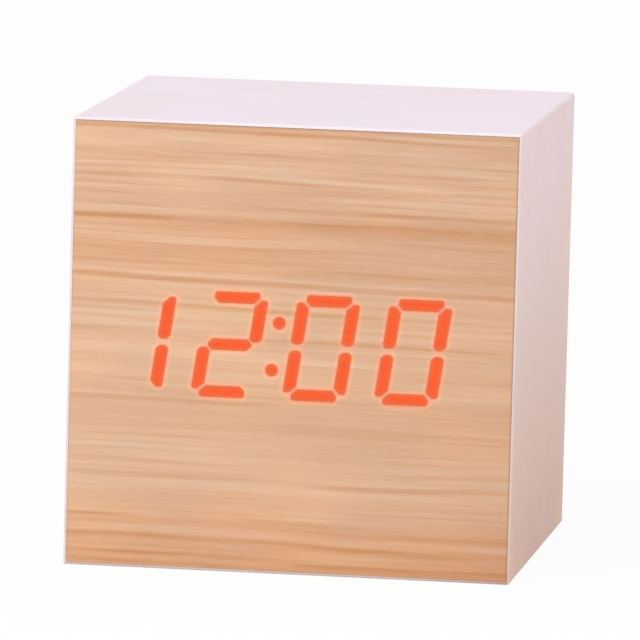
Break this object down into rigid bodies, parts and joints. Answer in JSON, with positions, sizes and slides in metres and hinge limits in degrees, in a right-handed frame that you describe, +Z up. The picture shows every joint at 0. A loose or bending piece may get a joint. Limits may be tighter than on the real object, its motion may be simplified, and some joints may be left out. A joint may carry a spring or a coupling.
{
  "type": "cube alarm clock",
  "caption": "Cube desk clock with a bamboo front that LED digits shine through, a pale wrapped case, push buttons, a power socket and a hinged battery door at the back.",
  "frame": {"origin": "centre of the base, on the surface that the clock stands on", "axes": "+X to the right of the display, +Y to the back, +Z up"},
  "size_m": [0.062, 0.062, 0.062],
  "materials": {
    "film": "satin",
    "fibreboard": "matte",
    "bamboo": "satin",
    "lit": "satin",
    "pine": "matte",
    "display_white": "matte",
    "diffuser": "satin",
    "board_green": "satin",
    "led_yellow": "gloss",
    "tinned": "satin",
    "gilt": "satin",
    "screw_steel": "satin",
    "nickel": "polished",
    "can": "satin",
    "chip_black": "matte",
    "ribbon_grey": "matte",
    "cover_black": "fine texture",
    "button_black": "satin",
    "cell_jacket": "gloss",
    "lead_red": "satin",
    "lead_black": "satin"
  },
  "bodies": {
    "case": {"wrap_film": "film", "top_panel": "fibreboard", "bottom_panel": "fibreboard", "left_panel": "fibreboard", "right_panel": "fibreboard", "front_board": "fibreboard", "front_veneer": "bamboo", "lit_segments": "lit", "lit_colon": "lit", "corner_posts": "pine", "board_rails": "pine", "display_frame": "display_white", "ribbon_headers": "display_white", "display_diffusers": "diffuser", "display_base": "board_green", "main_board": "board_green", "key_board": "board_green", "led_chips": "led_yellow", "display_pins": "tinned", "usb_shell": "tinned", "controller_leads": "tinned", "switch_covers": "tinned", "switch_legs": "tinned", "usb_contacts": "gilt", "main_board_screws": "screw_steel", "cover_screws": "screw_steel", "key_board_screws": "screw_steel", "contact_plates": "nickel", "battery_springs": "nickel", "crystal": "can", "sound_sensor": "can", "capacitors": "can", "controller_chip": "chip_black", "resistors": "chip_black", "buzzer": "chip_black", "temperature_sensor": "chip_black", "key_switches": "chip_black", "usb_tongue": "chip_black", "ribbon_cable": "ribbon_grey", "back_cover": "cover_black", "battery_cell_1": "cell_jacket", "battery_cell_2": "cell_jacket", "battery_cell_3": "cell_jacket", "positive_lead": "lead_red", "negative_lead": "lead_black"},
    "set_key": {"set_button": "button_black", "set_plunger": "chip_black"},
    "up_key": {"up_button": "button_black", "up_plunger": "chip_black"},
    "down_key": {"down_button": "button_black", "down_plunger": "chip_black"},
    "door": {"battery_door": "cover_black"}
  },
  "joints": [
    {"name": "set_press", "type": "slide", "parent": "case", "child": "set_key", "axis": [0, -1, 0], "range_m": [0, 0.0005], "stiffness_N_per_m": 300},
    {"name": "up_press", "type": "slide", "parent": "case", "child": "up_key", "axis": [0, -1, 0], "range_m": [0, 0.0005], "stiffness_N_per_m": 300},
    {"name": "down_press", "type": "slide", "parent": "case", "child": "down_key", "axis": [0, -1, 0], "range_m": [0, 0.0005], "stiffness_N_per_m": 300},
    {"name": "door_swing", "type": "hinge", "parent": "case", "child": "door", "pos_m": [0, 0.0285, 0.013], "axis": [-1, 0, 0], "range_deg": [0, 90]}
  ]
}
